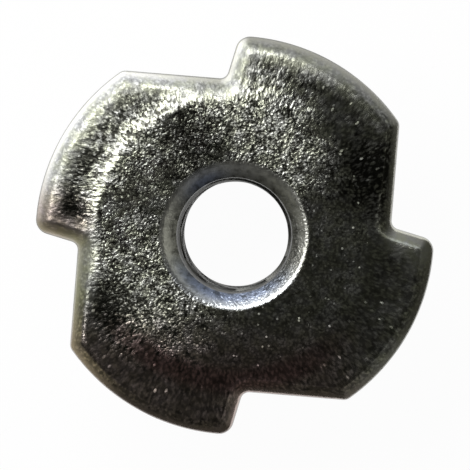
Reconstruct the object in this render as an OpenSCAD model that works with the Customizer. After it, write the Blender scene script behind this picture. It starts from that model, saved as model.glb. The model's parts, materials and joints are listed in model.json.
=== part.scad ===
// Four-prong tee nut: one piece of sheet steel, drawn into a threaded barrel and folded into prongs.
// Z points out of the flange. The origin is on the thread's axis, in the seat plane under the wings.

/* [Barrel] */
// Diameter of the clear hole, which is the thread's minor diameter
bore_d = 5.1; // [4.8:0.05:5.4]
// Outside diameter of the barrel
barrel_d = 7.7; // [7:0.1:8.6]
// Height of the whole nut, from the raised middle to the barrel's end
nut_h = 9; // [7.5:0.1:14]
// Diameter at which the flange starts to turn down into the funnel
funnel_d = 7.2; // [6.4:0.1:8]
// Rounding where the flange turns down into the funnel
funnel_r = 0.3; // [0.1:0.05:0.8]
// Slope of the funnel below that rounding, in degrees
funnel_slope = 33; // [25:1:50]
// Fillet between the barrel and the flange's underside
root_r = 0.5; // [0.2:0.1:1]
// Rounding of the barrel's outer edge at its end
end_r = 0.3; // [0.1:0.05:0.6]
// Chamfer of the hole at the barrel's end
end_chamfer = 0.55; // [0.2:0.05:0.6]

/* [Flange] */
// Diameter over the wings
flange_d = 19; // [18:0.1:22]
// Thickness of the sheet
sheet_t = 1.3; // [1.1:0.05:1.5]
// Diameter of the raised middle
middle_d = 13; // [12:0.1:14]
// Height of the raised middle above the wings
step_h = 0.16; // [0.1:0.01:0.3]
// Radius of the two bends in the step between them
step_r = 2; // [1:0.1:3]
// Radius of the rolled-over edges
edge_r = 1.25; // [0.9:0.05:1.25]
// Plan radius of the wings' leading corners, beside the slits
wing_corner_r = 0.7; // [0.4:0.05:1]
// Plan radius of the wings' trailing corners, beside the folds
fold_corner_r = 0.5; // [0.3:0.05:1]

/* [Prongs] */
// Number of prongs
prong_count = 4; // [3:1:4]
// Distance of each fold from the axis
fold_y = 7.4; // [7:0.05:7.8]
// Distance of each slit from the axis, measured along the fold
slit_x = 1; // [0.5:0.1:1.5]
// Lean of each slit towards its wing, in degrees
slit_lean = 12.5; // [5:0.5:18]
// Plan radius at the inner end of each slit
slit_end_r = 0.4; // [0.25:0.05:0.6]
// Inside radius of the folds
fold_r = 0.3; // [0.15:0.05:0.5]
// Length of the prongs below the seat
prong_l = 4.8; // [3.5:0.1:6]
// Width of the prongs' blunt tips
tip_w = 0.6; // [0.3:0.1:1]

/* [Hidden] */
$fn = 96;
zinc = [0.45, 0.45, 0.41];
// Each rounding is this much wider than its tangent circle, so that it crosses its faces cleanly
lap = 1.008;
// Reach of a cutting shape past the solid that it cuts
past = 10;

bore_r = bore_d / 2;
barrel_r = barrel_d / 2;
flange_r = flange_d / 2;
middle_r = middle_d / 2;
top_z = sheet_t + step_h;
end_z = top_z - nut_h;
step_half = sqrt(step_r * step_h - step_h * step_h / 4);
edge_z = top_z - edge_r;

// Across and along a slit, seen from above
across = [cos(slit_lean), -sin(slit_lean)];
along = [sin(slit_lean), cos(slit_lean)];
slit_foot = [-slit_x, fold_y];
// Centre of the rounding at the slit's inner end, on the notch's side
slit_end = [-slit_x - slit_end_r * (1 - sin(slit_lean)) / cos(slit_lean), fold_y + slit_end_r];
// Centre of the wing's leading corner, inside the rim and beside the slit
corner_from = slit_foot + wing_corner_r * across;
corner_rim = flange_r - wing_corner_r;
corner_reach = sqrt(pow(corner_from * along, 2) - corner_from * corner_from + corner_rim * corner_rim);
wing_corner = corner_from + (corner_reach - corner_from * along) * along;
// Centre of the wing's trailing corner, inside the rim and beside the fold
fold_corner_y = fold_y - fold_corner_r;
fold_corner = [-sqrt(pow(flange_r - fold_corner_r, 2) - fold_corner_y * fold_corner_y), fold_corner_y];

// The area under the upper skin, from its raised middle over the step to the rim
module under_skin(depth) {
    inflection = middle_r + step_half;
    foot = middle_r + 2 * step_half;
    translate([0, -depth])
        square([middle_r, depth + step_h]);
    intersection() {
        translate([middle_r, -depth])
            square([step_half, depth + step_h]);
        translate([middle_r, step_h - step_r])
            circle(step_r);
    }
    difference() {
        translate([inflection, -depth])
            square([step_half, depth + step_h]);
        translate([foot, step_r])
            circle(step_r);
    }
    translate([foot, -depth])
        square([flange_r - foot, depth]);
}

// What a rolled-over edge takes off a wall at x = 0 whose solid lies on the positive side
module edge_cut() {
    translate([-past, -past])
        square([past, 2 * past]);
    difference() {
        translate([-past, edge_z])
            square([past + edge_r, past]);
        translate([edge_r, edge_z])
            circle(edge_r * lap);
    }
}

// The same cut for an edge whose solid lies inside a radius
module outer_edge_cut(radius) {
    intersection() {
        translate([radius, 0])
            mirror([1, 0])
                edge_cut();
        translate([0, -past])
            square([radius + past, 2 * past]);
    }
}

module flange_section() {
    difference() {
        translate([0, sheet_t])
            under_skin(sheet_t + step_h);
        under_skin(past);
        outer_edge_cut(flange_r);
    }
}

module barrel_section() {
    translate([0, end_z])
        square([barrel_r, nut_h - sheet_t / 2]);
    difference() {
        translate([0, step_h - root_r])
            square([barrel_r + root_r, root_r + sheet_t / 2]);
        translate([barrel_r + root_r, step_h - root_r])
            circle(root_r);
    }
}

// The threaded hole with its funnel at the flange and its chamfer at the barrel's end
module hole_section() {
    slope = [cos(funnel_slope), sin(funnel_slope)];
    round_from = [funnel_d / 2, top_z - funnel_r];
    mouth_r = funnel_d / 2 - funnel_r * tan(funnel_slope / 2);
    reach = past / slope[1];
    foot = [bore_r, top_z - (mouth_r - bore_r) * tan(funnel_slope)];
    translate([0, end_z - past])
        square([bore_r, nut_h + 2 * past]);
    polygon([[0, foot[1]], foot, foot + reach * slope, [0, foot[1] + reach * slope[1]]]);
    difference() {
        polygon([round_from, round_from + [0, past], round_from + [-slope[1], slope[0]] * past]);
        translate(round_from)
            circle(funnel_r * lap);
    }
    polygon([
        [0, end_z - past],
        [bore_r + end_chamfer + past, end_z - past],
        [bore_r, end_z + end_chamfer],
        [0, end_z + end_chamfer],
    ]);
}

module barrel_end_section() {
    difference() {
        translate([barrel_r - end_r, end_z - past])
            square([end_r + past, end_r + past]);
        translate([barrel_r - end_r, end_z + end_r])
            circle(end_r * lap);
    }
}

module turned_body() {
    rotate_extrude()
        difference() {
            union() {
                flange_section();
                barrel_section();
            }
            hole_section();
            barrel_end_section();
        }
}

// A rolled-over edge along x, with the solid on the negative y side
module straight_edge_cut() {
    rotate([90, 0, 90])
        linear_extrude(2 * flange_d, center = true)
            mirror([1, 0])
                edge_cut();
}

// A tall sector at a point of the plan, from one direction over a turn of less than 120 degrees
module sector(point, from, turn) {
    translate([point[0], point[1], -past])
        linear_extrude(2 * past)
            polygon([
                [0, 0],
                for (i = [0:2])
                    2 * past * [cos(from + turn * i / 2), sin(from + turn * i / 2)],
            ]);
}

// The metal that fills the inner end of a slit with a rolled-over round
module slit_end_fill() {
    intersection() {
        translate(slit_end)
            rotate_extrude()
                difference() {
                    translate([0, -past])
                        square([slit_end_r + edge_r, 2 * past]);
                    translate([slit_end_r * lap, 0])
                        edge_cut();
                }
        sector(slit_end, -90, 90 - slit_lean);
    }
}

// The open notch between a fold and the slit beside it
module notch() {
    difference() {
        intersection() {
            translate([0, fold_y, 0])
                straight_edge_cut();
            translate(slit_foot)
                rotate(90 - slit_lean)
                    straight_edge_cut();
        }
        slit_end_fill();
    }
}

// What rounds a corner of the plan with a rolled-over edge, from the rim's direction to the side's
module corner_cut(centre, radius, side) {
    rim = atan2(centre[1], centre[0]);
    intersection() {
        translate(centre)
            rotate_extrude()
                outer_edge_cut(radius * lap);
        sector(centre, rim, side - rim);
    }
}

// One prong hanging from its fold, with the slit's edge on one side
module prong() {
    root = fold_corner[0];
    tip = slit_end[0] + prong_l * tan(slit_lean);
    inner_y = fold_y - sheet_t;
    translate([0, fold_y, 0])
        rotate([90, 0, 0])
            linear_extrude(sheet_t)
                polygon([
                    [root, 0],
                    [root + fold_r, fold_r],
                    [slit_end[0], fold_r],
                    [slit_end[0], 0],
                    [tip, -prong_l],
                    [tip - tip_w, -prong_l],
                ]);
    rotate([90, 0, 90])
        translate([0, 0, root + fold_r])
            linear_extrude(slit_end[0] - root - fold_r)
                difference() {
                    translate([inner_y - fold_r, step_h - fold_r])
                        square([2 * fold_r, 2 * fold_r]);
                    translate([inner_y - fold_r, step_h - fold_r])
                        circle(fold_r);
                }
}

module tee_nut() {
    color(zinc)
        union() {
            difference() {
                turned_body();
                for (i = [0:prong_count - 1])
                    rotate(i * 360 / prong_count) {
                        notch();
                        corner_cut(wing_corner, wing_corner_r, 180 - slit_lean);
                        corner_cut(fold_corner, fold_corner_r, 90);
                    }
            }
            for (i = [0:prong_count - 1])
                rotate(i * 360 / prong_count)
                    prong();
        }
}

tee_nut();
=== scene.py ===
"""A zinc-plated tee nut: the pinwheel flange with its prongs, the threaded barrel, and a small studio."""

import json
from math import atan2, cos, hypot, pi, radians, sin, sqrt, tan
from types import SimpleNamespace

import bmesh
import bpy
import numpy as np
from bpy.props import FloatProperty, FloatVectorProperty, PointerProperty
from mathutils import Matrix, Vector


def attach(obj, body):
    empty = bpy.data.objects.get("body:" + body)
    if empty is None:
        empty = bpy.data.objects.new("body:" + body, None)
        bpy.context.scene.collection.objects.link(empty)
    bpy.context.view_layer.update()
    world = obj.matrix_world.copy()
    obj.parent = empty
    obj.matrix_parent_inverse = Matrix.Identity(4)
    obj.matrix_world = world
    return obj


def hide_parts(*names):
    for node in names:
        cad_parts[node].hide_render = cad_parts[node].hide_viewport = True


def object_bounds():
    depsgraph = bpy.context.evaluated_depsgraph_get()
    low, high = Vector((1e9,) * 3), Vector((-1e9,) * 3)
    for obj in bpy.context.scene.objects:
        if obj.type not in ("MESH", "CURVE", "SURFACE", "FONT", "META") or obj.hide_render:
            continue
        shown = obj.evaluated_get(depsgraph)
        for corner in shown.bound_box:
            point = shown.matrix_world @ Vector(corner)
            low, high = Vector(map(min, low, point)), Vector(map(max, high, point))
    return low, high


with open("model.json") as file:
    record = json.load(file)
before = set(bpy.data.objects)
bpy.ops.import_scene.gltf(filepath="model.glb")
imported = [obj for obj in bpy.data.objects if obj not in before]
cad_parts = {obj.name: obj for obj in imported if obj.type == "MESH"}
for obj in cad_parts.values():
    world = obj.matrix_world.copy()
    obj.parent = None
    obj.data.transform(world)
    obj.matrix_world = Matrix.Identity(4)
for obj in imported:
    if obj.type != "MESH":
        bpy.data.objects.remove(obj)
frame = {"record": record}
CAD_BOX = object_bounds()
MOUNTS = {mount["name"]: mount for mount in frame["record"]["mounts"]}

bl_info = {
    "name": "Tee Nut",
    "version": (1, 0, 0),
    "blender": (4, 5, 0),
    "location": "3D View > Sidebar > Tee Nut",
    "description": "Builds a zinc-plated tee nut and a small studio round it",
    "category": "Add Mesh",
}

# Millimetres are the unit of the shapes below; Blender's own unit is the metre
MM = 0.001
QUARTERS = 4


def length(name, description, default_mm):
    """A size that is given in millimetres and kept in metres."""
    return FloatProperty(
        name=name,
        description=description,
        default=default_mm * MM,
        min=0.0,
        precision=5,
        subtype="DISTANCE",
        unit="LENGTH",
    )


def turn(name, description, default_degrees):
    """An angle that is given in degrees and kept in radians."""
    return FloatProperty(
        name=name,
        description=description,
        default=radians(default_degrees),
        subtype="ANGLE",
        unit="ROTATION",
    )


def share(name, description, default):
    """A number between 0 and 1."""
    return FloatProperty(
        name=name, description=description, default=default, min=0.0, max=1.0, subtype="FACTOR"
    )


def colour(name, description, default):
    """A linear colour."""
    return FloatVectorProperty(
        name=name, description=description, default=default, min=0.0, max=1.0, size=3, subtype="COLOR"
    )


class TEENUT_PG_flange(bpy.types.PropertyGroup):
    """Sizes of the flange and its prongs"""

    flange_r: length("Flange radius", "From the axis to the rim", CAD_BOX[1].x / MM)
    top_z: length("Top", "Height of the raised middle over the seat plane", CAD_BOX[1].z / MM)
    step_h: length("Step", "Height of the raised middle over the wings", 0.16)
    middle_r: length("Middle radius", "Where the raised middle starts to step down", 6.5)
    step_r: length("Step bend", "Radius of the step's bend at the raised middle", 0.8)
    step_foot_r: length("Step foot", "Radius of the step's hollow at the wings", 4.0)
    edge_r: length("Edge rounding", "Radius of the rolled-over edges", 1.25)
    fold_y: length("Fold distance", "From the axis to each fold", 7.4)
    fold_r: length("Fold radius", "Inside radius of each fold", 0.3)
    fold_corner_r: length("Trailing corner", "Plan radius of the corner beside each fold", 0.5)
    slit_x: length("Slit offset", "From the axis to each slit, along the fold", 1.0)
    slit_lean: turn("Slit lean", "Lean of each slit towards its wing", 12.5)
    slit_end_r: length("Slit end", "Plan radius at each slit's inner end", 0.4)
    wing_corner_r: length("Leading corner", "Plan radius of the corner beside each slit", 0.7)
    prong_l: length("Prong length", "Length of the prongs below the seat plane", 4.8)
    tip_w: length("Prong tip", "Width of the prongs' blunt tips", 0.6)


class TEENUT_PG_barrel(bpy.types.PropertyGroup):
    """Sizes of the barrel and its thread"""

    barrel_r: length("Barrel radius", "Outside radius of the barrel", MOUNTS["barrel"]["dims"]["r_mm"])
    root_r: length("Root fillet", "Fillet between the barrel and the flange", 0.5)
    end_r: length("End rounding", "Rounding of the barrel's outer edge at its end", 0.3)
    end_chamfer: length("End chamfer", "Chamfer of the hole at the barrel's end", 0.55)
    funnel_r: length("Funnel radius", "Where the flange turns down into the hole", 3.6)
    funnel_round: length("Funnel rounding", "Rounding of the funnel's upper edge", 0.5)
    funnel_slope: turn("Funnel slope", "Slope of the funnel below its rounding", 33.0)
    minor_r: length("Minor radius", "Radius of the thread's crests", MOUNTS["thread"]["dims"]["r_mm"])
    major_r: length("Major radius", "Radius of the thread's roots", 3.05)
    lip_r: length("Lip radius", "Radius at which the funnel ends and the thread starts to run in", 2.74)
    pitch: length("Pitch", "Rise of the thread in one turn", 1.0)


class TEENUT_PG_finish(bpy.types.PropertyGroup):
    """Colours and grain of the zinc"""

    zinc: colour("Zinc", "Plated metal where it leans to olive", (0.7, 0.72, 0.57))
    blue: colour("Blue", "Plated metal where it leans to blue", (0.7, 0.71, 0.66))
    funnel: colour("Funnel", "Drawn metal where it leans to olive", (0.66, 0.66, 0.6))
    funnel_blue: colour("Blue funnel", "Drawn metal where it leans to blue", (0.48, 0.56, 0.74))
    # The edge colour goes on the rolled-over edges facing the lamp: partly wear, partly painted highlight
    edge: colour("Edge", "Metal worn bright on the rolled-over edges", (0.73, 0.72, 0.61))
    # Darker edge colour on the rolled-over edges away from the lamp: painted shade
    shaded_edge: colour("Dull edge", "Metal of edges that handling hasn't polished", (0.42, 0.41, 0.35))
    # Near-black colour of the sheared wall at the outline: dull sheared metal, partly painted shade
    shear: colour("Shear", "Dull metal where the sheet was sheared", (0.09, 0.088, 0.07))
    stain: colour("Stain", "Brownish film low on the flange", (0.76, 0.46, 0.44))
    # Dark colour of the thread: painted shade deep in the bore
    thread: colour("Thread", "Dull metal in the thread", (0.14, 0.14, 0.13))
    pit: colour("Pits", "Dark ground between the grains", (0.04, 0.04, 0.033))
    grain: length("Grain", "Width of one grain", 0.118)
    smooth: share("Smooth roughness", "Roughness where the plating is plain", 0.12)
    rough: share("Grain roughness", "Roughness where the grain stands out", 0.31)


def in_millimetres(*groups):
    """The values of some property groups, with every length in millimetres."""
    values = {}
    for group in groups:
        for key in group.__annotations__:
            is_length = group.bl_rna.properties[key].unit == "LENGTH"
            values[key] = getattr(group, key) / MM if is_length else getattr(group, key)
    return SimpleNamespace(**values)


class Wire:
    """An output socket whose arithmetic adds Math nodes to its tree."""

    def __init__(self, graph, socket):
        self.graph = graph
        self.socket = socket

    def __add__(self, other):
        return self.graph.math("ADD", self, other)

    def __sub__(self, other):
        return self.graph.math("SUBTRACT", self, other)

    def __mul__(self, other):
        return self.graph.math("MULTIPLY", self, other)

    def __truediv__(self, other):
        return self.graph.math("DIVIDE", self, other)

    def __radd__(self, other):
        return self.graph.math("ADD", other, self)

    def __rsub__(self, other):
        return self.graph.math("SUBTRACT", other, self)

    def __rmul__(self, other):
        return self.graph.math("MULTIPLY", other, self)

    def __rtruediv__(self, other):
        return self.graph.math("DIVIDE", other, self)


class Graph:
    """A node tree with a short way to add its nodes."""

    def __init__(self, tree):
        self.tree = tree
        tree.nodes.clear()

    def node(self, kind, settings=None, sockets=None):
        """Adds a node, sets its settings first and then the values or links of its sockets."""
        node = self.tree.nodes.new(kind)
        for name, value in (settings or {}).items():
            setattr(node, name, value)
        for key, value in (sockets or {}).items():
            for part in value if isinstance(value, list) else [value]:
                if isinstance(part, Wire):
                    self.tree.links.new(part.socket, node.inputs[key])
                else:
                    node.inputs[key].default_value = part
        return node

    def out(self, kind, settings=None, sockets=None, output=0):
        """Adds a node and returns one of its outputs."""
        return Wire(self, self.node(kind, settings, sockets).outputs[output])

    def math(self, operation, *values):
        """Adds a Math node."""
        return self.out("ShaderNodeMath", {"operation": operation}, dict(enumerate(values)))

    def ramp(self, value, low, high):
        """Rises smoothly from 0 to 1 while the value goes from low to high."""
        sockets = {"Value": value, "From Min": low, "From Max": high}
        return self.out("ShaderNodeMapRange", {"interpolation_type": "SMOOTHSTEP"}, sockets)

    def blend(self, factor, first, second):
        """Mixes two colours."""
        sockets = {"Factor": factor, 6: first, 7: second}
        return self.out("ShaderNodeMix", {"data_type": "RGBA"}, sockets, output=2)


def rgba(value):
    """A colour property with full opacity."""
    return (*value, 1.0)


# Columns along each stretch of a quarter's outline, and rows of each stretch of a section
OUTLINE_COLUMNS = {"fold_corner": 5, "fold": 22, "slit_end": 8, "slit": 7, "wing_corner": 10, "rim": 44}
TOP_ROWS = 34
EDGE_ROWS = 8
BLADE_ROWS = 8
EDGE_FACE_ROWS = 3
FILLET_ROWS = 4
UNDER_ROWS = 12
ROOT_ROWS = 6
BARREL_ROWS = 5
END_ROWS = 4
FACE_ROWS = 2
THREAD_ROWS = 106
FUNNEL_ROWS = 9
# Columns across a prong's blunt tip
TIP_COLUMNS = 3
# Distances to the edge are taken to an outline with this many times its columns
OUTLINE_DENSITY = 8
# The rolled-over edge is followed by rows of its own up to this slope
EDGE_SLOPE = radians(50)
# Small bevel along the sheared lower edge of the wings
SHEAR_BEVEL = 0.05
# Share of the way from the outline to the barrel that the rows of the prongs' sections take elsewhere
UNDER_SHARE = 0.3
# Most that a fold's inner bend takes of a prong's depth
BEND_SHARE = 0.8
# Height over which the step and the rolled-over edges run into each other
CREASE = 0.05


def polar(radius, angle):
    """Points on a circle round the origin."""
    return np.stack([radius * np.cos(angle), radius * np.sin(angle)], axis=-1)


def outline_landmarks(s):
    """Centres of the small rounds in a quarter's plan, seen from above with its fold at the top."""
    across = np.array([cos(s.slit_lean), -sin(s.slit_lean)])
    along = np.array([sin(s.slit_lean), cos(s.slit_lean)])
    slit_end = np.array(
        [-s.slit_x - s.slit_end_r * (1 - sin(s.slit_lean)) / cos(s.slit_lean), s.fold_y + s.slit_end_r]
    )
    corner_from = np.array([-s.slit_x, s.fold_y]) + s.wing_corner_r * across
    rim_r = s.flange_r - s.wing_corner_r
    reach = sqrt((corner_from @ along) ** 2 - corner_from @ corner_from + rim_r**2)
    wing_corner = corner_from + (reach - corner_from @ along) * along
    corner_y = s.fold_y - s.fold_corner_r
    fold_corner = np.array([-sqrt((s.flange_r - s.fold_corner_r) ** 2 - corner_y**2), corner_y])
    return SimpleNamespace(
        across=across, slit_end=slit_end, wing_corner=wing_corner, fold_corner=fold_corner
    )


def outline_quarter(s, density=1):
    """Points and outward normals of one quarter of the plan, clockwise from its trailing corner."""
    marks = outline_landmarks(s)
    counts = {name: count * density for name, count in OUTLINE_COLUMNS.items()}
    points = []
    normals = []

    def arc(name, centre, radius, start, end, outward=1):
        angles = np.linspace(start, end, counts[name], endpoint=False)
        points.append(centre + polar(radius, angles))
        normals.append(outward * polar(1, angles))

    def line(name, start, end, normal):
        steps = np.linspace(0, 1, counts[name], endpoint=False)[:, None]
        points.append(start + steps * (end - start))
        normals.append(np.tile(normal, (counts[name], 1)))

    trailing = atan2(marks.fold_corner[1], marks.fold_corner[0])
    leading = atan2(marks.wing_corner[1], marks.wing_corner[0])
    slit_from = marks.slit_end + s.slit_end_r * marks.across
    slit_to = marks.wing_corner - s.wing_corner_r * marks.across
    fold_from = marks.fold_corner + np.array([0, s.fold_corner_r])
    fold_to = marks.slit_end - np.array([0, s.slit_end_r])
    arc("fold_corner", marks.fold_corner, s.fold_corner_r, trailing, pi / 2)
    line("fold", fold_from, fold_to, np.array([0.0, 1.0]))
    arc("slit_end", marks.slit_end, s.slit_end_r, -pi / 2, -s.slit_lean, outward=-1)
    line("slit", slit_from, slit_to, -marks.across)
    arc("wing_corner", marks.wing_corner, s.wing_corner_r, pi - s.slit_lean, leading)
    arc("rim", np.zeros(2), s.flange_r, leading, trailing - pi / 2)
    return np.concatenate(points), np.concatenate(normals)


def turned(plan, quarters):
    """Points of the plan turned anticlockwise by some quarters."""
    angle = quarters * pi / 2
    return plan @ np.array([[cos(angle), sin(angle)], [-sin(angle), cos(angle)]])


def skin_height(s, radius):
    """Height of the flange's upper skin: raised middle, soft step, wings."""
    slope = sqrt(1 - (1 - s.step_h / (s.step_r + s.step_foot_r)) ** 2)
    bend = s.step_r * slope
    hollow = s.step_foot_r * slope
    into = np.clip(radius - s.middle_r, 0, bend)
    out_of = np.clip(s.middle_r + bend + hollow - radius, 0, hollow)
    upper = s.top_z - s.step_r + np.sqrt(s.step_r**2 - into**2)
    lower = s.top_z - s.step_h + s.step_foot_r - np.sqrt(s.step_foot_r**2 - out_of**2)
    return np.where(radius < s.middle_r + bend, upper, lower)


def edge_height(s, inset):
    """Height of a rolled-over edge at some distance inside the outline; it keeps rising past its crown."""
    rise = np.sqrt(s.edge_r**2 - (s.edge_r - np.clip(inset, 0, s.edge_r)) ** 2)
    past = np.clip(inset - s.edge_r, 0, None)
    return s.top_z - s.edge_r + rise + past**2 / (2 * s.edge_r)


def soft_min(first, second, width):
    """The lower of two heights, with a small round where they cross."""
    near = np.clip(width - np.abs(first - second), 0, None) / width
    return np.minimum(first, second) - near**2 * width / 4


def distance_to(points, outline):
    """Distance of each point of the plan to a closely spaced outline."""
    return np.stack([np.min(np.linalg.norm(outline - point, axis=1)) for point in points])


def with_height(plan, height):
    """Points of the plan at some height."""
    height = np.broadcast_to(height, len(plan))
    return np.column_stack([plan, height])


def blade_section(s, point, depth_point, plan_inner):
    """One section of a prong, from the fold's outer face down, round its edge and up the inner face."""
    sheet = s.top_z - s.step_h
    depth = -depth_point[1]
    bend = min(s.fold_r, BEND_SHARE * depth)
    top = np.array([point[0], s.fold_y, SHEAR_BEVEL])
    low_outer = np.array([depth_point[0], s.fold_y, -depth])
    low_inner = low_outer - np.array([0, sheet, 0])
    under = skin_height(s, hypot(*plan_inner)) - sheet
    down = [top + (low_outer - top) * i / BLADE_ROWS for i in range(BLADE_ROWS)]
    round_edge = [low_outer + (low_inner - low_outer) * i / EDGE_FACE_ROWS for i in range(EDGE_FACE_ROWS)]
    bend_share = (depth - bend) / depth
    bend_foot = low_inner + (np.array([point[0], low_inner[1], under]) - low_inner) * bend_share
    up = [low_inner + (bend_foot - low_inner) * i / BLADE_ROWS for i in range(BLADE_ROWS)]
    fillet = []
    for i in range(FILLET_ROWS + 1):
        angle = pi / 2 * i / FILLET_ROWS
        inward = s.fold_r * (1 - cos(angle))
        x = bend_foot[0] + (point[0] - bend_foot[0]) * sin(angle)
        z = under - (under - bend_foot[2]) * (1 - sin(angle))
        fillet.append(np.array([x, low_inner[1] - inward, z]))
    return np.array(down + round_edge + up + fillet)


def flange_quarter(s):
    """Rows of points of one quarter, from the funnel's edge over the flange to the barrel's end."""
    plan, normals = outline_quarter(s)
    dense = outline_quarter(s, density=OUTLINE_DENSITY)[0]
    dense = np.concatenate([turned(dense, quarter) for quarter in (-1, 0, 1)])
    marks = outline_landmarks(s)
    sheet = s.top_z - s.step_h
    count = len(plan)
    start_angle = atan2(marks.fold_corner[1], marks.fold_corner[0])
    plan = np.vstack([plan, turned(plan[:1], -1)])
    normals = np.vstack([normals, turned(normals[:1], -1)])
    angles = start_angle - pi / 2 * np.arange(count + 1) / count
    fold_first = OUTLINE_COLUMNS["fold_corner"]
    fold_last = fold_first + OUTLINE_COLUMNS["fold"]
    # The last fold column comes twice: once with the prong and once without it
    order = list(range(fold_last + 1)) + list(range(fold_last, count + 1))
    plan, normals, angles = plan[order], normals[order], angles[order]
    rows = []
    rolled = []

    def top_row(points, inset):
        height = soft_min(skin_height(s, np.hypot(*points.T)), edge_height(s, inset), CREASE)
        rows.append(with_height(points, height))
        rolled.append(np.asarray(inset, float))

    edge_inset = s.edge_r * (1 - cos(EDGE_SLOPE))
    funnel_ring = polar(s.funnel_r, angles)
    inner = plan - edge_inset * normals
    for i in range(TOP_ROWS):
        points = funnel_ring + (inner - funnel_ring) * i / TOP_ROWS
        top_row(points, distance_to(points, dense))
    for i in range(EDGE_ROWS + 1):
        slope = EDGE_SLOPE * (1 - i / EDGE_ROWS)
        inset = s.edge_r * (1 - cos(slope))
        top_row(plan - inset * normals, np.full(len(plan), inset))

    # Under the fold the rows go straight in from the outline, and elsewhere towards the barrel
    root_ring = polar(s.barrel_r + s.root_r, angles)
    column_of = np.array(order)
    past_fold = (column_of - fold_last) / OUTLINE_COLUMNS["slit_end"]
    before_fold = (fold_first - column_of) / OUTLINE_COLUMNS["fold_corner"]
    free = np.clip(np.maximum(past_fold, before_fold), 0, 1)[:, None]
    free = free**2 * (3 - 2 * free)
    straight_in = plan - (sheet + s.fold_r) * normals
    to_barrel = plan + (root_ring - plan) * UNDER_SHARE
    under_edge = straight_in + (to_barrel - straight_in) * free
    blade_count = 2 * BLADE_ROWS + EDGE_FACE_ROWS + FILLET_ROWS + 1
    tip = np.array([marks.slit_end[0] + s.prong_l * tan(s.slit_lean), -s.prong_l])
    slant_to = tip - np.array([s.tip_w, 0])
    root = np.array([plan[fold_first][0], 0.0])
    sections = []
    for column, (point, normal) in enumerate(zip(plan, normals)):
        if fold_first < column <= fold_last:
            along = (column - fold_first) / (OUTLINE_COLUMNS["fold"] - TIP_COLUMNS)
            if along <= 1:
                depth_point = root + (slant_to - root) * along
            else:
                past_slant = (column - fold_last + TIP_COLUMNS) / TIP_COLUMNS
                depth_point = slant_to + (tip - slant_to) * past_slant
            sections.append(blade_section(s, point, depth_point, under_edge[column]))
        else:
            bevelled = point - SHEAR_BEVEL * normal
            steps = np.linspace(0, 1, blade_count - 1)[:, None]
            under = bevelled + steps * (under_edge[column] - bevelled)
            heights = skin_height(s, np.hypot(*under.T)) - sheet
            wall = np.array([[*point, SHEAR_BEVEL]])
            sections.append(np.vstack([wall, with_height(under, heights)]))
    sections = np.array(sections)
    rows.extend(sections[:, i] for i in range(blade_count))

    for i in range(1, UNDER_ROWS + 1):
        points = under_edge + (root_ring - under_edge) * i / UNDER_ROWS
        rows.append(with_height(points, skin_height(s, np.hypot(*points.T)) - sheet))
    rows.extend(barrel_rows(s, angles))
    spread = np.full((len(rows), len(plan)), s.flange_r)
    spread[: len(rolled)] = np.array(rolled)
    spread[len(rolled)] = 0
    return np.array(rows), spread, start_angle, count


def barrel_rows(s, angles):
    """Rows of points from the root fillet down the barrel, round its edge and in to the hole's chamfer."""
    end_z = s.end_z
    profile = []
    for i in range(1, ROOT_ROWS + 1):
        slope = pi / 2 * i / ROOT_ROWS
        profile.append((s.barrel_r + s.root_r * (1 - sin(slope)), s.step_h - s.root_r * (1 - cos(slope))))
    straight_from = s.step_h - s.root_r
    straight_to = end_z + s.end_r
    for i in range(1, BARREL_ROWS + 1):
        profile.append((s.barrel_r, straight_from + (straight_to - straight_from) * i / BARREL_ROWS))
    for i in range(1, END_ROWS + 1):
        slope = pi / 2 * i / END_ROWS
        profile.append((s.barrel_r - s.end_r * (1 - cos(slope)), end_z + s.end_r * (1 - sin(slope))))
    face_from = s.barrel_r - s.end_r
    face_to = s.minor_r + s.end_chamfer
    for i in range(1, FACE_ROWS + 1):
        profile.append((face_from + (face_to - face_from) * i / FACE_ROWS, end_z))
    return [with_height(polar(radius, angles), height) for radius, height in profile]


def grid_mesh(name, rows, spread):
    """A sheet of quads from rows of points in millimetres, with each point's distance to the edge."""
    row_count, column_count = rows.shape[:2]
    corner = np.arange(row_count * column_count).reshape(row_count, column_count)
    faces = np.stack([corner[:-1, :-1], corner[1:, :-1], corner[1:, 1:], corner[:-1, 1:]], axis=-1)
    mesh = bpy.data.meshes.new(name)
    mesh.from_pydata((rows.reshape(-1, 3) * MM).tolist(), [], faces.reshape(-1, 4).tolist())
    attribute = mesh.attributes.new("edge_distance", "FLOAT", "POINT")
    attribute.data.foreach_set("value", spread.ravel().astype(np.float32))
    return mesh


# Names of the sizes that the Geometry Nodes tree takes, with the socket type of each
NUT_INPUTS = {
    "Quarters": "NodeSocketInt",
    "Columns": "NodeSocketInt",
    "Rows": "NodeSocketInt",
    "Funnel Rows": "NodeSocketFloat",
    "Start Angle": "NodeSocketFloat",
    "Top": "NodeSocketFloat",
    "End": "NodeSocketFloat",
    "Funnel Radius": "NodeSocketFloat",
    "Funnel Rounding": "NodeSocketFloat",
    "Funnel Slope": "NodeSocketFloat",
    "Minor Radius": "NodeSocketFloat",
    "Major Radius": "NodeSocketFloat",
    "Lip Radius": "NodeSocketFloat",
    "Pitch": "NodeSocketFloat",
    "End Chamfer": "NodeSocketFloat",
    "Weld": "NodeSocketFloat",
    "Material": "NodeSocketMaterial",
}
# Flank of a 60 degree thread: radius lost for each step along the axis
FLANK = sqrt(3)
# Flat at the thread's root, as a share of its pitch, on each side of its middle
ROOT_FLAT = 0.09
# Turns below the funnel's lip in which the crests come in to their radius and the grooves deepen
CREST_TURNS = (0.0, 1.0)
GROOVE_TURNS = (0.1, 0.8)
# Distance over which funnel, thread and chamfer run into each other
THREAD_SOFT = 0.04 * MM


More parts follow.
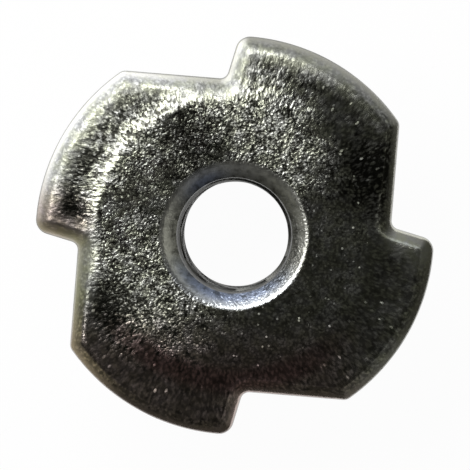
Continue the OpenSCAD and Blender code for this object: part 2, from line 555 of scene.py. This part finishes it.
def nut_tree():
    """Geometry Nodes that repeat the flange's quarter round the axis and turn the threaded hole."""
    tree = bpy.data.node_groups.new("Tee Nut", "GeometryNodeTree")
    graph = Graph(tree)
    tree.interface.new_socket("Geometry", in_out="INPUT", socket_type="NodeSocketGeometry")
    for name, kind in NUT_INPUTS.items():
        tree.interface.new_socket(name, in_out="INPUT", socket_type=kind)
    tree.interface.new_socket("Geometry", in_out="OUTPUT", socket_type="NodeSocketGeometry")
    group = graph.node("NodeGroupInput")
    given = {socket.name: Wire(graph, socket) for socket in group.outputs if socket.name}

    # The quarters stand on points at the origin, each turned by its own share of a full turn
    points = graph.out(
        "GeometryNodeMeshLine", {"mode": "OFFSET"}, {"Count": given["Quarters"], "Offset": (0, 0, 0)}
    )
    index = graph.out("GeometryNodeInputIndex")
    step = index * (2 * pi) / given["Quarters"]
    rotation = graph.out("ShaderNodeCombineXYZ", None, {"Z": step})
    instances = graph.out(
        "GeometryNodeInstanceOnPoints",
        None,
        {"Points": points, "Instance": given["Geometry"], "Rotation": rotation},
    )
    flange = graph.out("GeometryNodeRealizeInstances", None, {"Geometry": instances})

    # The hole is a grid: one side goes round the axis and the other from the funnel's edge to the end
    sheet = graph.out(
        "GeometryNodeMeshGrid",
        None,
        {"Size X": 1.0, "Size Y": 1.0, "Vertices X": given["Columns"] + 1, "Vertices Y": given["Rows"] + 1},
    )
    place = graph.node("ShaderNodeSeparateXYZ", None, {0: graph.out("GeometryNodeInputPosition")})
    angle = given["Start Angle"] + (Wire(graph, place.outputs["X"]) + 0.5) * (2 * pi)
    row = (0.5 - Wire(graph, place.outputs["Y"])) * given["Rows"]
    bend = graph.math("MINIMUM", row / given["Funnel Rows"], 1.0) * given["Funnel Slope"]
    bend_z = given["Top"] - given["Funnel Rounding"] * (1 - graph.math("COSINE", bend))
    bend_r = given["Funnel Radius"] - given["Funnel Rounding"] * graph.math("SINE", bend)
    slope_z = given["Top"] - given["Funnel Rounding"] * (1 - graph.math("COSINE", given["Funnel Slope"]))
    slope_r = given["Funnel Radius"] - given["Funnel Rounding"] * graph.math("SINE", given["Funnel Slope"])
    below = graph.math("MAXIMUM", row - given["Funnel Rows"], 0.0) / (given["Rows"] - given["Funnel Rows"])
    drop = below * (slope_z - given["End"])
    height = bend_z - drop
    funnel = bend_r - drop / graph.math("TANGENT", given["Funnel Slope"])
    chamfer = given["Minor Radius"] + given["End Chamfer"] - (height - given["End"])
    # Below the funnel's lip the crests come in to their radius and the grooves deepen to theirs
    lip_z = slope_z - (slope_r - given["Lip Radius"]) * graph.math("TANGENT", given["Funnel Slope"])
    depth = (lip_z - height) / given["Pitch"]
    lip = given["Lip Radius"]
    crest = lip - graph.ramp(depth, *CREST_TURNS) * (lip - given["Minor Radius"])
    root = crest + graph.ramp(depth, *GROOVE_TURNS) * (given["Major Radius"] - crest)
    phase = graph.math("FRACT", height / given["Pitch"] - angle / (2 * pi))
    from_root = graph.math("ABSOLUTE", phase - 0.5) - ROOT_FLAT
    flank = root - from_root * given["Pitch"] * FLANK
    cut = graph.math("SMOOTH_MIN", flank, root, THREAD_SOFT)
    thread = graph.math("SMOOTH_MAX", cut, crest, THREAD_SOFT)
    wall = graph.math("SMOOTH_MAX", thread, funnel, THREAD_SOFT)
    wall = graph.math("SMOOTH_MAX", wall, chamfer, THREAD_SOFT)
    spot = graph.out(
        "ShaderNodeCombineXYZ",
        None,
        {"X": wall * graph.math("COSINE", angle), "Y": wall * graph.math("SINE", angle), "Z": height},
    )
    hole = graph.out("GeometryNodeSetPosition", None, {"Geometry": sheet, "Position": spot})

    joined = graph.out("GeometryNodeJoinGeometry", None, {"Geometry": [flange, hole]})
    welded = graph.out("GeometryNodeMergeByDistance", None, {"Geometry": joined, "Distance": given["Weld"]})
    smooth = graph.out("GeometryNodeSetShadeSmooth", None, {"Geometry": welded})
    whole = graph.out("GeometryNodeRealizeInstances", None, {"Geometry": smooth})
    plated = graph.out("GeometryNodeSetMaterial", None, {"Geometry": whole, "Material": given["Material"]})
    graph.node("NodeGroupOutput", None, {"Geometry": plated})
    return tree


# Distance under which points of two neighbouring sheets become one
WELD = 0.002 * MM
# Faces narrower than this are taken for faces without area
SLIVER = WELD / 4
# Edges that bend by more than this stay crisp
CRISP = radians(38)


def nut_mesh(s, material):
    """The whole nut as one closed mesh."""
    rows, spread, start_angle, quarter_columns = flange_quarter(s)
    blank = bpy.data.objects.new("tee_nut_blank", grid_mesh("tee_nut_blank", rows, spread))
    bpy.context.scene.collection.objects.link(blank)
    tree = nut_tree()
    modifier = blank.modifiers.new("Tee Nut", "NODES")
    modifier.node_group = tree
    values = {
        "Quarters": QUARTERS,
        "Columns": QUARTERS * quarter_columns,
        "Rows": THREAD_ROWS,
        "Funnel Rows": float(FUNNEL_ROWS),
        "Start Angle": start_angle,
        "Top": s.top_z * MM,
        "End": s.end_z * MM,
        "Funnel Radius": s.funnel_r * MM,
        "Funnel Rounding": s.funnel_round * MM,
        "Funnel Slope": s.funnel_slope,
        "Minor Radius": s.minor_r * MM,
        "Major Radius": s.major_r * MM,
        "Lip Radius": s.lip_r * MM,
        "Pitch": s.pitch * MM,
        "End Chamfer": s.end_chamfer * MM,
        "Weld": WELD,
        "Material": material,
    }
    for item in tree.interface.items_tree:
        if item.in_out == "INPUT" and item.name in values:
            modifier[item.identifier] = values[item.name]
    depsgraph = bpy.context.evaluated_depsgraph_get()
    mesh = bpy.data.meshes.new_from_object(blank.evaluated_get(depsgraph), depsgraph=depsgraph)
    bpy.data.objects.remove(blank)
    close_shell(mesh)
    mesh.set_sharp_from_angle(angle=CRISP)
    return mesh


def close_shell(mesh):
    """Removes faces without area, turns all faces outwards and makes sure that the shell is closed."""
    shell = bmesh.new()
    shell.from_mesh(mesh)
    bmesh.ops.dissolve_degenerate(shell, dist=SLIVER, edges=shell.edges)
    bmesh.ops.recalc_face_normals(shell, faces=shell.faces)
    open_places = [
        [round(value / MM, 3) for vertex in edge.verts for value in vertex.co]
        for edge in shell.edges
        if len(edge.link_faces) != 2
    ]
    shell.to_mesh(mesh)
    shell.free()
    if open_places:
        raise RuntimeError(f"the nut's shell has {len(open_places)} open edges, some at {open_places[:4]}")


# Places on the plating: distance from the axis in millimetres, direction in degrees, reach in millimetres
# A wing's corner with the same film as the low side, also painted darker as shade
STAIN_AND_SHADE_CORNER = (8.5, 179, 2.2)
# A wing's corner painted lighter, a painted highlight, and how soon it is fully so
HIGHLIT_CORNER = (8.2, 1, 1.7)
HIGHLIT_GAIN = 2.5
# Where a bluish film lies in the funnel besides its low side
BLUE_PLACE = (3.2, 125, 1.8)
# Where the funnel's colour is darkest
DARKEST_FUNNEL_PLACE = (3.2, 338, 2.8)
# Where the grain stands out, each place with its strength
GRAINY_PLACES = (
    (6.4, 126, 7.0, 0.45),
    (6.9, 86, 3.8, 0.85),
    (4.3, 60, 3.1, 0.95),
    (4.5, 224, 4.4, 1.1),
    (5.4, 186, 2.6, 0.4),
    (8.4, 146, 4.2, 0.75),
    (8.6, 170, 2.6, 0.6),
)
# Where the plating is painted darker, each place with its share of dark; at the stained corner and at 28
# degrees, away from the lamp, it is painted shade
DARK_PLACES = (
    (*STAIN_AND_SHADE_CORNER, 0.55),
    (7.3, 28, 3.2, 0.45),
    (4.9, 122, 2.8, 0.34),
    (6.8, 213, 2.0, 0.55),
    (8.4, 160, 2.0, 0.3),
)
# The lamp's side: its rolled-over edges are rougher and have fewer dark pits, so they are painted lighter,
# a painted highlight
LAMP_SIDE = radians(130)

# Where each part of the surface starts and where it is fully there, in millimetres
FUNNEL_RADII = (3.64, 3.46)
WING_RADII = (4.4, 4.6)
THREAD_HEIGHTS = (1.06, 0.9)
BELOW_HEIGHTS = (0.2, -0.4)
STEEP_INSETS = (0.4, 0.05)
ROLLED_INSETS = (1.5, 0.5)
SHEARED_INSETS = (0.1, 0.0)
# Across this reach towards the lamp's side the rolled-over edges become rougher and take their painted
# highlight
LAMP_SIDE_REACH = (-1.0, 4.5)
# Across this reach towards the lamp's side the edges change from the darker edge colour, painted shade, to
# the light one, painted highlight
BRIGHT_REACH = (-7.0, 2.0)
LOW_SIDE_Y = (-3.0, -6.5)
LOW_SIDE_X = (8.0, 4.5)
STEP_RADIUS = 6.9
STEP_RING = (0.9, 0.2)
BLUE_Y = (-0.8, -2.4)
BLUE_HEIGHTS = (1.38, 1.12)
BLUE_AT_MOUTH = 0.3
# The funnel is painted darker between these heights, as shade towards the hole
DIM_HEIGHTS = (1.36, 1.06)

# Patterns: how often they change in a millimetre, and the values between which they take effect
CLOUD_SCALE = 0.8
CLOUD_RANGE = (0.3, 0.7)
TINT_SCALE = 1.6
TINT_RANGE = (0.35, 0.65)
MOTTLE_SCALE = 2.6
PIT_MOTTLE = (0.58, 0.3)
DIM_MOTTLE = (0.6, 0.3)
PIT_GRAIN = (0.55, 0.2)
GLINT_CELLS = (0.94, 1.0)
GLINT_SPREAD = (0.5, 0.2)

# Grain: its strength on plain metal, at most and in the funnel, and how the cloud changes it
PLAIN_GRAIN = 0.27
MOST_GRAIN = 1.2
FUNNEL_GRAIN = 0.5
CLOUD_LEAST = 0.65
CLOUD_MORE = 0.7
# The grain is drawn out beyond this distance from the axis, to this share of its spacing
STRETCH_FROM = 6.4
STRETCH = 0.5
# Domes for each grain, and the heights of the fine grain and of the domes
DOMES = 0.8
FINE_HEIGHT = 0.8
DOME_HEIGHT = 0.35
BUMP_HEIGHT = 0.045 * MM

# Share of dark pits and of dark mottle on plain metal, and what the grain's strength adds to each
PITS_PLAIN = 0.62
PITS_GRAINY = 0.18
MOTTLE_PLAIN = 0.1
MOTTLE_GRAINY = 0.4
# Share of the brownish film, both all over the low side and once more along the step, and on the edges
STAIN_SHARE = 0.45
EDGE_STAIN = 0.4
# Share of the edge colours on steep edges: partly wear, partly painted highlight and painted shade
EDGE_WEAR_AND_LIGHT = 0.75
# How far mottle, depth and the darkest place dim the funnel, and the most that they do together; the
# dimming with depth is painted shade towards the hole
DIM_BY_MOTTLE = 0.4
DIM_BY_DEPTH = 0.55
DIM_BY_PLACE = 0.4
MOST_DIM = 0.85
# What each kind of surface takes away of the grain's strength, of the dark pits and of the bumps
GRAIN_LOSSES = {"drawn": 1.0, "below": 0.55}
# On the lamp's side of the rolled-over edges and at the highlit corner, the lost pits are painted highlight
PIT_LOSSES = {"polished": 0.4, "steep": 0.5, "smooth": 0.9, "below": 0.45}
BUMP_LOSSES = {"polished": 0.1, "steep": 0.45}
# What each kind of surface adds to the roughness, and how far the cloud changes it
ROUGHNESS_GAINS = {"drawn": 0.08, "threaded": 0.2, "rolled": 0.05, "polished": 0.16, "glint": 0.35}
CLOUD_ROUGHNESS = 0.12


def nearness(graph, x, y, radius, direction, reach):
    """1 at a place that is given by its distance from the axis and direction, 0 beyond its reach."""
    across = x - radius * cos(radians(direction))
    along = y - radius * sin(radians(direction))
    return graph.ramp(graph.math("SQRT", across * across + along * along), reach, 0.0)


def gathered(graph, x, y, start, places):
    """A start value and what each of some places adds to it near by."""
    total = start
    for *place, gain in places:
        total = total + nearness(graph, x, y, *place) * gain
    return total


def lessened(value, on, losses):
    """A value of which each kind of surface takes its share away."""
    for kind, loss in losses.items():
        value = value * (1 - getattr(on, kind) * loss)
    return value


def noise(graph, spot, scale, detail=3.0, roughness=0.6):
    """A soft random pattern."""
    sockets = {"Vector": spot, "Scale": scale, "Detail": detail, "Roughness": roughness}
    return graph.out("ShaderNodeTexNoise", None, sockets)


def plating_kinds(graph, x, y, z, radius):
    """How far each kind of surface is there, from 0 to 1."""
    inset = graph.out("ShaderNodeAttribute", {"attribute_name": "edge_distance"}, None, output="Fac")
    towards = x * cos(LAMP_SIDE) + y * sin(LAMP_SIDE)
    wing = graph.ramp(radius, *WING_RADII)
    on = SimpleNamespace()
    on.drawn = graph.ramp(radius, *FUNNEL_RADII)
    on.threaded = graph.ramp(z, *THREAD_HEIGHTS) * on.drawn
    # The barrel and the prongs
    on.below = graph.ramp(z, *BELOW_HEIGHTS)
    on.steep = graph.ramp(inset, *STEEP_INSETS) * wing
    on.rolled = graph.ramp(inset, *ROLLED_INSETS) * wing
    on.sheared = graph.ramp(inset, *SHEARED_INSETS)
    # Rolled-over edges on the lamp's side: rougher, and painted lighter by losing pits, a painted highlight
    on.polished = on.rolled * graph.ramp(towards, *LAMP_SIDE_REACH)
    # Painted highlight at one wing's corner: its rolled-over edge loses its pits and takes the light edge
    # colour
    highlit = nearness(graph, x, y, *HIGHLIT_CORNER) * HIGHLIT_GAIN
    on.smooth = graph.math("MINIMUM", highlit, 1.0) * on.rolled
    # The edges facing the lamp and the highlit corner take the light edge colour and the rest the darker
    # one: painted highlight and painted shade
    on.bright = graph.math("MAXIMUM", graph.ramp(towards, *BRIGHT_REACH), on.smooth)
    low = graph.ramp(y, *LOW_SIDE_Y) * graph.ramp(x, *LOW_SIDE_X) * (1 - on.below)
    on.stained = graph.math("MAXIMUM", low, nearness(graph, x, y, *STAIN_AND_SHADE_CORNER))
    on.step = graph.ramp(graph.math("ABSOLUTE", radius - STEP_RADIUS), *STEP_RING)
    blue = graph.math("MAXIMUM", graph.ramp(y, *BLUE_Y), nearness(graph, x, y, *BLUE_PLACE))
    on.blue = blue * (BLUE_AT_MOUTH + graph.ramp(z, *BLUE_HEIGHTS) * (1 - BLUE_AT_MOUTH))
    return on


def plating_grain(graph, spot, radius, width):
    """Height of the grain, which is drawn out towards the rim, and the few grains that glint."""
    stretch = (graph.math("MINIMUM", radius, STRETCH_FROM) * (1 - STRETCH) + radius * STRETCH) / radius
    combed = graph.out("ShaderNodeVectorMath", {"operation": "SCALE"}, {0: spot, "Scale": stretch})
    fine = noise(graph, combed, MM / width, detail=2.0, roughness=0.55)
    domes = graph.node("ShaderNodeTexVoronoi", None, {"Vector": combed, "Scale": DOMES * MM / width})
    from_crown = Wire(graph, domes.outputs["Distance"])
    cell = graph.node("ShaderNodeSeparateColor", None, {0: Wire(graph, domes.outputs["Color"])})
    picked = graph.ramp(Wire(graph, cell.outputs["Red"]), *GLINT_CELLS)
    height = fine * FINE_HEIGHT - from_crown * from_crown * DOME_HEIGHT
    return height, picked * graph.ramp(from_crown, *GLINT_SPREAD)


def plating_colour(graph, finish, on, spot, x, y, z, grain, strength):
    """Zinc with a film on its low side and dark pits, partly painted shade at some places; the funnel and
    thread, painted darker deeper down as shade; and the edges, with wear and with painted highlight on the
    lamp's side and painted shade away from it.
    """
    tint = noise(graph, spot, TINT_SCALE, detail=2.0, roughness=0.5)
    mottle = noise(graph, spot, MOTTLE_SCALE)
    zinc = graph.blend(graph.ramp(tint, *TINT_RANGE), rgba(finish.zinc), rgba(finish.blue))
    film = on.stained * (STAIN_SHARE + on.step * STAIN_SHARE)
    zinc = graph.blend(film, zinc, rgba(finish.stain))
    pits = graph.ramp(grain, *PIT_GRAIN) * (PITS_PLAIN + strength * PITS_GRAINY)
    pits = pits + graph.ramp(mottle, *PIT_MOTTLE) * (MOTTLE_PLAIN + strength * MOTTLE_GRAINY)
    # The dark places darken the colour, at some of them as painted shade
    pits = gathered(graph, x, y, pits, DARK_PLACES)
    pits = lessened(graph.math("MINIMUM", pits, 1.0), on, PIT_LOSSES)
    base = graph.blend(pits, zinc, rgba(finish.pit))

    funnel = graph.blend(on.blue, rgba(finish.funnel), rgba(finish.funnel_blue))
    # The funnel is dimmed by its mottle, by depth as painted shade towards the hole, and at its darkest
    # place
    dimmed = graph.ramp(mottle, *DIM_MOTTLE) * DIM_BY_MOTTLE + graph.ramp(z, *DIM_HEIGHTS) * DIM_BY_DEPTH
    dimmed = dimmed + nearness(graph, x, y, *DARKEST_FUNNEL_PLACE) * DIM_BY_PLACE
    funnel = graph.blend(graph.math("MINIMUM", dimmed, MOST_DIM), funnel, rgba(finish.pit))
    base = graph.blend(on.drawn, base, funnel)
    # The thread is painted dark, as the shade deep in the bore
    base = graph.blend(on.threaded, base, rgba(finish.thread))

    # Edge colour with painted highlight on the lamp's side and painted shade away from it, then the film
    # and the sheared wall
    worn_and_lit = graph.blend(on.bright, rgba(finish.shaded_edge), rgba(finish.edge))
    worn_and_lit = graph.blend(on.stained * EDGE_STAIN, worn_and_lit, rgba(finish.stain))
    # The sheared wall at the outline: dull metal, partly painted shade
    worn_and_lit = graph.blend(on.sheared, worn_and_lit, rgba(finish.shear))
    return graph.blend(on.steep * EDGE_WEAR_AND_LIGHT, base, worn_and_lit)


def zinc_material(finish):
    """Zinc plating: a fine grain that sparkles under the lamp, plain in the drawn funnel and thread."""
    material = bpy.data.materials.new("zinc_plating")
    material.use_nodes = True
    graph = Graph(material.node_tree)
    coordinates = graph.out("ShaderNodeTexCoord", None, None, output="Object")
    spot = graph.out("ShaderNodeVectorMath", {"operation": "SCALE"}, {0: coordinates, "Scale": 1 / MM})
    place = graph.node("ShaderNodeSeparateXYZ", None, {0: spot})
    x, y, z = (Wire(graph, place.outputs[axis]) for axis in "XYZ")
    radius = graph.math("SQRT", x * x + y * y)
    on = plating_kinds(graph, x, y, z, radius)
    grain, glint = plating_grain(graph, spot, radius, finish.grain)
    on.glint = glint * (1 - on.drawn)

    cloud = noise(graph, spot, CLOUD_SCALE)
    strength = graph.math("MINIMUM", gathered(graph, x, y, PLAIN_GRAIN, GRAINY_PLACES), MOST_GRAIN)
    strength = strength * (CLOUD_LEAST + graph.ramp(cloud, *CLOUD_RANGE) * CLOUD_MORE)
    strength = lessened(strength, on, GRAIN_LOSSES) + (on.drawn - on.threaded) * FUNNEL_GRAIN
    rough = finish.smooth + strength * (finish.rough - finish.smooth)
    for kind, gain in ROUGHNESS_GAINS.items():
        rough = rough + getattr(on, kind) * gain
    rough = rough + (cloud - 0.5) * CLOUD_ROUGHNESS * (1 - on.drawn)
    height = lessened(grain * strength, on, BUMP_LOSSES)
    bump = graph.out("ShaderNodeBump", None, {"Strength": 1.0, "Distance": BUMP_HEIGHT, "Height": height})
    base = plating_colour(graph, finish, on, spot, x, y, z, grain, strength)
    shader = graph.out(
        "ShaderNodeBsdfPrincipled",
        None,
        {"Base Color": base, "Metallic": 1.0, "Roughness": rough, "Normal": bump},
    )
    graph.node("ShaderNodeOutputMaterial", None, {"Surface": shader})
    return material


class TEENUT_OT_nut(bpy.types.Operator):
    """Builds the tee nut: pinwheel flange, prongs and threaded barrel"""

    bl_idname = "teenut.build_nut"
    bl_label = "Build Tee Nut"

    def execute(self, context):
        scene = context.scene
        sizes = in_millimetres(scene.teenut_flange, scene.teenut_barrel)
        sizes.end_z = CAD_BOX[0].z / MM
        mesh = nut_mesh(sizes, zinc_material(scene.teenut_finish))
        nut = bpy.data.objects.new("tee_nut_body", mesh)
        scene.collection.objects.link(nut)
        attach(nut, "root")
        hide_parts("tee_nut")
        return {"FINISHED"}


# The camera looks almost straight down, from a little to the right and above, with the nut turned a little
CAMERA_ROLL = radians(4.65)
CAMERA_LEAN = (0.0173, 0.0145)
CAMERA_DISTANCE = 400 * MM
CAMERA_CLIP = 10 * MM
FRAME_WIDTH = 22.325 * MM
FRAME_CENTRE = (0.038 * MM, 0.033 * MM)
SENSOR = 36.0
# The broad lamp, upper left of the nut
KEY_DISTANCE = 75 * MM
KEY_TURN = radians(130)
KEY_TILT = radians(36)
KEY_SIZE = (82 * MM, 38 * MM)
KEY_WATTS = 0.064
# The floor: half its width, its colour, how far it is plain white to the camera, and the shade at the foot
FLOOR_HALF = 0.6
FLOOR_COLOUR = (0.9, 0.9, 0.9)
FLOOR_GLOW = 0.97
FLOOR_WHITE = (1.0, 1.0, 1.0)
CONTACT_TONE = (0.05, 0.05, 0.05)
CONTACT_REACH = 2.5 * MM
CONTACT_EDGE = 0.3 * MM
CONTACT_SAMPLES = 8
# Light of the studio's walls, and of its windows with their direction in degrees and where each starts
WALL = (0.12, 0.12, 0.115)
WINDOWS = (
    (300, 0.5, (0.14, 0.14, 0.15)),
    (190, 0.4, (0.12, 0.12, 0.11)),
    (20, 0.5, (0.5, 0.5, 0.46)),
    (140, 0.3, (0.22, 0.22, 0.21)),
    (95, 0.6, (0.75, 0.78, 0.86)),
)
# How squarely a direction has to point to a window to see its full light
WINDOW_MIDDLE = 0.95
# Light overhead and just over the floor, and the heights between which each takes over
OVERHEAD = (0.036, 0.036, 0.033)
OVERHEAD_FROM = (0.45, 0.8)
SKIRTING = (0.85, 0.85, 0.84)
SKIRTING_FROM = (0.12, 0.03)
# A low card stands round the nut, outside the picture, lowest below the lamp
CARD_RADIUS = 14.5 * MM
CARD_LOW = 3.2 * MM
CARD_HIGH = 6.5 * MM
# Light of the card: its dark ground, then each lighter part with its direction in degrees and its spread
CARD_DARK = (0.06, 0.06, 0.052)
CARD_LIGHTS = (
    (200, 0.75, 0.98, (0.36, 0.355, 0.26)),
    (112, -0.1, 0.85, (0.46, 0.46, 0.48)),
    (138, 0.7, 0.97, (2.0, 2.0, 2.25)),
    (316, 0.92, 0.99, (0.14, 0.14, 0.13)),
)
CARD_STEPS = 73


def image_axes():
    """The directions in the model that point right, up and out of the photograph."""
    right = Vector((cos(CAMERA_ROLL), sin(CAMERA_ROLL), 0))
    up = Vector((-sin(CAMERA_ROLL), cos(CAMERA_ROLL), 0))
    return right, up, Vector((0, 0, 1))


def aimed(position, target, up):
    """A matrix that puts a lamp or camera at a position, looking at a target."""
    back = (position - target).normalized()
    right = up.cross(back).normalized()
    turn_matrix = Matrix((right, back.cross(right), back)).transposed()
    return Matrix.Translation(position) @ turn_matrix.to_4x4()


def add_camera(scene):
    right, up, out = image_axes()
    top = Vector((0, 0, CAD_BOX[1].z))
    target = top + FRAME_CENTRE[0] * right + FRAME_CENTRE[1] * up
    direction = (CAMERA_LEAN[0] * right + CAMERA_LEAN[1] * up + out).normalized()
    data = bpy.data.cameras.new("camera")
    data.sensor_width = SENSOR
    data.lens = SENSOR * CAMERA_DISTANCE / FRAME_WIDTH
    data.clip_start = CAMERA_CLIP
    camera = bpy.data.objects.new("camera", data)
    camera.matrix_world = aimed(target + CAMERA_DISTANCE * direction, target, up)
    scene.collection.objects.link(camera)
    scene.camera = camera


def add_key_lamp(scene):
    right, up, out = image_axes()
    sideways = cos(KEY_TURN) * right + sin(KEY_TURN) * up
    direction = sin(KEY_TILT) * sideways + cos(KEY_TILT) * out
    data = bpy.data.lights.new("key", "AREA")
    data.shape = "ELLIPSE"
    data.size, data.size_y = KEY_SIZE
    data.energy = KEY_WATTS
    lamp = bpy.data.objects.new("key", data)
    lamp.matrix_world = aimed(direction * KEY_DISTANCE, Vector(), out)
    scene.collection.objects.link(lamp)


def add_floor(scene):
    z = CAD_BOX[0].z
    mesh = bpy.data.meshes.new("floor")
    corners = [(x * FLOOR_HALF, y * FLOOR_HALF, z) for x, y in ((-1, -1), (1, -1), (1, 1), (-1, 1))]
    mesh.from_pydata(corners, [], [(0, 1, 2, 3)])
    material = bpy.data.materials.new("pale_floor")
    material.use_nodes = True
    graph = Graph(material.node_tree)
    paths = graph.node("ShaderNodeLightPath")
    seen = [Wire(graph, paths.outputs[f"Is {ray} Ray"]) for ray in ("Camera", "Glossy", "Transmission")]
    direct = graph.math("MAXIMUM", graph.math("MAXIMUM", seen[0], seen[1]), seen[2])
    matte = graph.out("ShaderNodeBsdfDiffuse", None, {"Color": rgba(FLOOR_COLOUR)})
    # The barrel darkens the floor round its foot, and light falls through its hole
    open_share = graph.out(
        "ShaderNodeAmbientOcclusion", {"samples": CONTACT_SAMPLES}, {"Distance": CONTACT_REACH}, output="AO"
    )
    position = graph.out("ShaderNodeTexCoord", None, None, output="Object")
    from_axis = graph.out("ShaderNodeVectorMath", {"operation": "LENGTH"}, {0: position}, output="Value")
    foot = sqrt(z * z + (MOUNTS["thread"]["dims"]["r_mm"] * MM) ** 2)
    shade = (1 - open_share) * graph.ramp(from_axis, foot, foot + CONTACT_EDGE)
    tone = graph.blend(shade, rgba(FLOOR_WHITE), rgba(CONTACT_TONE))
    glow = graph.out("ShaderNodeEmission", None, {"Color": tone, "Strength": 1.0})
    surface = graph.out("ShaderNodeMixShader", None, {0: direct * FLOOR_GLOW, 1: matte, 2: glow})
    graph.node("ShaderNodeOutputMaterial", None, {"Surface": surface})
    mesh.materials.append(material)
    floor = bpy.data.objects.new("floor", mesh)
    scene.collection.objects.link(floor)


def facing(graph, direction, turn_degrees):
    """How squarely a direction points to one side of the studio: 1 for straight there, -1 for away."""
    side = (cos(radians(turn_degrees)), sin(radians(turn_degrees)), 0.0)
    sockets = {0: direction, 1: side}
    return graph.out("ShaderNodeVectorMath", {"operation": "DOT_PRODUCT"}, sockets, output="Value")


def add_card(scene):
    """The card whose reflection gives the rolled-over edges their light and depth."""
    angles = np.linspace(0, 2 * pi, CARD_STEPS)
    from_lamp = 0.5 - 0.5 * np.cos(angles - KEY_TURN - CAMERA_ROLL)
    top = CARD_LOW + (CARD_HIGH - CARD_LOW) * from_lamp
    plan = polar(CARD_RADIUS / MM, angles)
    rows = [with_height(plan, CAD_BOX[0].z / MM), with_height(plan, top / MM)]
    mesh = grid_mesh("card", np.array(rows), np.zeros((2, CARD_STEPS)))
    material = bpy.data.materials.new("studio_card")
    material.use_nodes = True
    graph = Graph(material.node_tree)
    position = graph.out("ShaderNodeTexCoord", None, None, output="Object")
    sockets = {0: position, "Scale": 1 / CARD_RADIUS}
    outward = graph.out("ShaderNodeVectorMath", {"operation": "SCALE"}, sockets)
    tone = rgba(CARD_DARK)
    for turn_degrees, start, end, light in CARD_LIGHTS:
        lit = graph.ramp(facing(graph, outward, turn_degrees), start, end)
        tone = graph.blend(lit, tone, rgba(light))
    glow = graph.out("ShaderNodeEmission", None, {"Color": tone, "Strength": 1.0})
    graph.node("ShaderNodeOutputMaterial", None, {"Surface": glow})
    mesh.materials.append(material)
    card = bpy.data.objects.new("card", mesh)
    card.visible_camera = False
    card.visible_diffuse = False
    card.visible_shadow = False
    scene.collection.objects.link(card)


def set_world(scene):
    """A dim studio: pale just over the floor, with windows on its sides, and dark overhead."""
    world = bpy.data.worlds.new("studio")
    world.use_nodes = True
    graph = Graph(world.node_tree)
    direction = graph.out("ShaderNodeTexCoord", None, None, output="Generated")
    place = graph.node("ShaderNodeSeparateXYZ", None, {0: direction})
    height = Wire(graph, place.outputs["Z"])
    walls = rgba(WALL)
    for turn_degrees, reach, light in WINDOWS:
        lit = graph.ramp(facing(graph, direction, turn_degrees), reach, WINDOW_MIDDLE)
        walls = graph.blend(lit, walls, rgba(light))
    tone = graph.blend(graph.ramp(height, *OVERHEAD_FROM), walls, rgba(OVERHEAD))
    tone = graph.blend(graph.ramp(height, *SKIRTING_FROM), tone, rgba(SKIRTING))
    background = graph.out("ShaderNodeBackground", None, {"Color": tone, "Strength": 1.0})
    graph.node("ShaderNodeOutputWorld", None, {"Surface": background})
    scene.world = world


class TEENUT_OT_stage(bpy.types.Operator):
    """Sets the floor, card, lamp, studio and camera"""

    bl_idname = "teenut.set_stage"
    bl_label = "Set Stage"

    def execute(self, context):
        scene = context.scene
        scene.view_settings.view_transform = "Standard"
        add_floor(scene)
        add_card(scene)
        add_key_lamp(scene)
        set_world(scene)
        add_camera(scene)
        return {"FINISHED"}


class TEENUT_PT_panel(bpy.types.Panel):
    """Sizes, finish and steps of the tee nut"""

    bl_idname = "TEENUT_PT_panel"
    bl_label = "Tee Nut"
    bl_space_type = "VIEW_3D"
    bl_region_type = "UI"
    bl_category = "Tee Nut"

    def draw(self, context):
        scene = context.scene
        for group in (scene.teenut_flange, scene.teenut_barrel, scene.teenut_finish):
            box = self.layout.box()
            for key in group.__annotations__:
                box.prop(group, key)
        self.layout.operator(TEENUT_OT_nut.bl_idname)
        self.layout.operator(TEENUT_OT_stage.bl_idname)


GROUPS = {
    "teenut_flange": TEENUT_PG_flange,
    "teenut_barrel": TEENUT_PG_barrel,
    "teenut_finish": TEENUT_PG_finish,
}
CLASSES = (*GROUPS.values(), TEENUT_OT_nut, TEENUT_OT_stage, TEENUT_PT_panel)


def register():
    for item in CLASSES:
        bpy.utils.register_class(item)
    for name, group in GROUPS.items():
        setattr(bpy.types.Scene, name, PointerProperty(type=group))


def unregister():
    for name in GROUPS:
        delattr(bpy.types.Scene, name)
    for item in reversed(CLASSES):
        bpy.utils.unregister_class(item)


def main():
    register()
    bpy.ops.teenut.build_nut()
    bpy.ops.teenut.set_stage()


if __name__ == "__main__":
    main()
